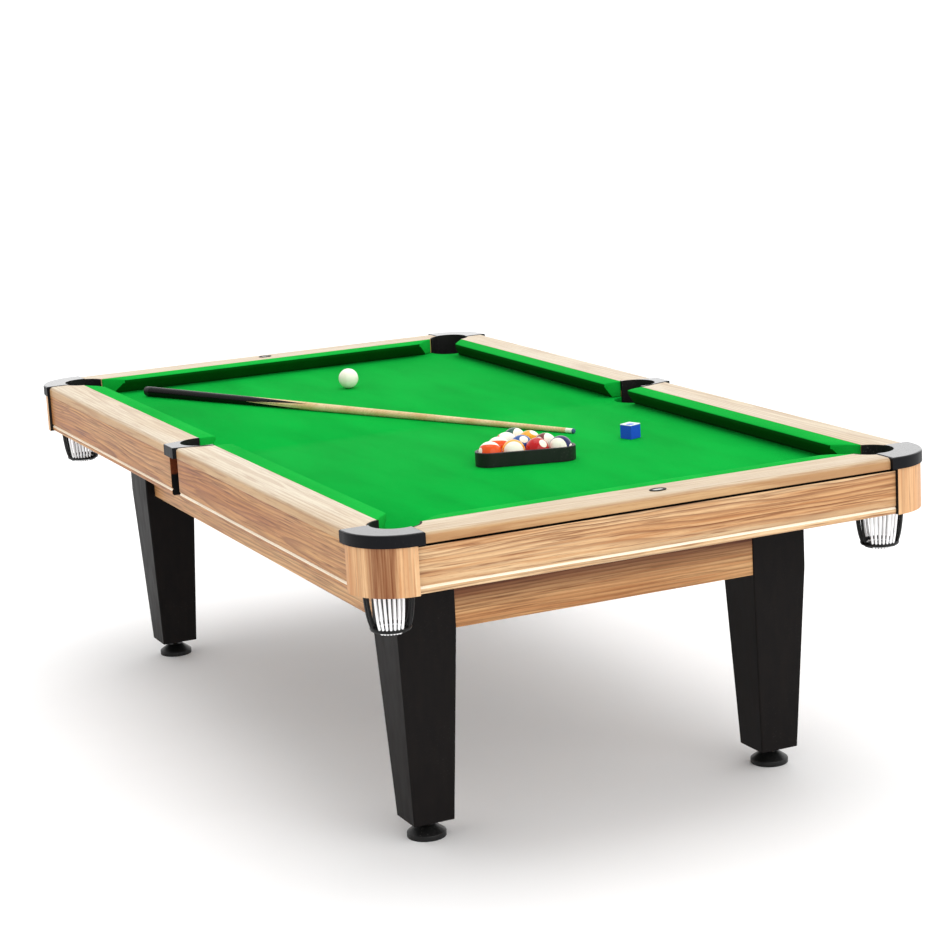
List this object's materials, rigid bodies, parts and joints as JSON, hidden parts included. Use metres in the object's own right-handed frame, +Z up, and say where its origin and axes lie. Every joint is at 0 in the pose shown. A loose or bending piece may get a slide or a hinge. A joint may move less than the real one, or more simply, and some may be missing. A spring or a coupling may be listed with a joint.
{
  "type": "pool table",
  "caption": "Slate-bed pool table with green cloth, oak rails and aprons, black pocket castings with baskets, tapered black legs on levelling feet, and racked balls with a cue.",
  "frame": {"origin": "on the floor, under the middle of the table", "axes": "+X across the table, +Y along it from the racked balls to the cue ball, +Z up"},
  "size_m": [1.416, 2.533, 0.8045],
  "materials": {
    "slate": "honed",
    "cloth": "napped wool",
    "oak": "satin laminate",
    "frame_timber": "planed",
    "black_laminate": "satin",
    "casting_plastic": "gloss",
    "drum_plastic": "matt",
    "basket_plastic": "satin",
    "foot_plastic": "satin",
    "zinc_steel": "zinc plated",
    "brass": "turned",
    "ball_resin": "polished",
    "rack_plastic": "satin",
    "cue_ash": "waxed",
    "cue_black": "lacquered",
    "cue_leather": "chalked",
    "chalk": "powdery",
    "rod_steel": "bright",
    "plate_trim": "satin"
  },
  "bodies": {
    "table": {"bed_cloth": "cloth", "bed_liners": "frame_timber", "bracket_bolts": "zinc_steel", "corner_baskets": "basket_plastic", "corner_block_back_left": "oak", "corner_block_back_right": "oak", "corner_block_front_left": "oak", "corner_block_front_right": "oak", "corner_casting_back_left": "casting_plastic", "corner_casting_back_right": "casting_plastic", "corner_casting_front_left": "casting_plastic", "corner_casting_front_right": "casting_plastic", "corner_pocket_liners": "drum_plastic", "cross_rails": "frame_timber", "end_beam_back": "oak", "end_beam_front": "oak", "end_cushion_back": "cloth", "end_cushion_front": "cloth", "end_rail_back": "oak", "end_rail_front": "oak", "end_skirt_back": "oak", "end_skirt_front": "oak", "leg_back_left": "black_laminate", "leg_back_right": "black_laminate", "leg_brackets": "zinc_steel", "leg_front_left": "black_laminate", "leg_front_right": "black_laminate", "leveller_inserts": "brass", "rail_bolts": "zinc_steel", "side_baskets": "basket_plastic", "side_beam_left": "oak", "side_beam_right": "oak", "side_casting_left": "casting_plastic", "side_casting_right": "casting_plastic", "side_cushion_back_left": "cloth", "side_cushion_back_right": "cloth", "side_cushion_front_left": "cloth", "side_cushion_front_right": "cloth", "side_pocket_liners": "drum_plastic", "side_rail_back_left": "oak", "side_rail_back_right": "oak", "side_rail_front_left": "oak", "side_rail_front_right": "oak", "side_skirt_back_left": "oak", "side_skirt_back_right": "oak", "side_skirt_front_left": "oak", "side_skirt_front_right": "oak", "skirt_brackets": "zinc_steel", "slate_slabs": "slate"},
    "leveller_front_left": {"leveller_front_left": "foot_plastic"},
    "leveller_front_right": {"leveller_front_right": "foot_plastic"},
    "leveller_back_left": {"leveller_back_left": "foot_plastic"},
    "leveller_back_right": {"leveller_back_right": "foot_plastic"},
    "cue": {"cue_tip": "cue_leather", "cue_shaft": "cue_ash", "cue_butt": "cue_black"},
    "chalk": {"chalk": "chalk"},
    "cue_ball": {"cue_ball": "ball_resin"},
    "racked_balls": {"object_balls": "ball_resin"},
    "triangle": {"triangle": "rack_plastic"}
  },
  "joints": [
    {"name": "leveller_front_left_screw", "type": "hinge", "parent": "table", "child": "leveller_front_left", "pos_m": [-0.454, -0.9, 0], "axis": [0, 0, 1], "range_deg": [-360, 720]},
    {"name": "leveller_front_right_screw", "type": "hinge", "parent": "table", "child": "leveller_front_right", "pos_m": [0.454, -0.9, 0], "axis": [0, 0, 1], "range_deg": [-360, 720]},
    {"name": "leveller_back_left_screw", "type": "hinge", "parent": "table", "child": "leveller_back_left", "pos_m": [-0.454, 0.9, 0], "axis": [0, 0, 1], "range_deg": [-360, 720]},
    {"name": "leveller_back_right_screw", "type": "hinge", "parent": "table", "child": "leveller_back_right", "pos_m": [0.454, 0.9, 0], "axis": [0, 0, 1], "range_deg": [-360, 720]},
    {"name": "cue_lift", "type": "slide", "parent": "table", "child": "cue", "axis": [0, 0, 1], "range_m": [0, 0.25]},
    {"name": "chalk_lift", "type": "slide", "parent": "table", "child": "chalk", "axis": [0, 0, 1], "range_m": [0, 0.15]},
    {"name": "cue_ball_roll", "type": "slide", "parent": "table", "child": "cue_ball", "axis": [0, 1, 0], "range_m": [-0.6, 0.35]},
    {"name": "rack_slide", "type": "slide", "parent": "table", "child": "racked_balls", "axis": [0, 1, 0], "range_m": [-0.4, 0.15]},
    {"name": "triangle_lift", "type": "slide", "parent": "racked_balls", "child": "triangle", "axis": [0, 0, 1], "range_m": [0, 0.15]}
  ]
}
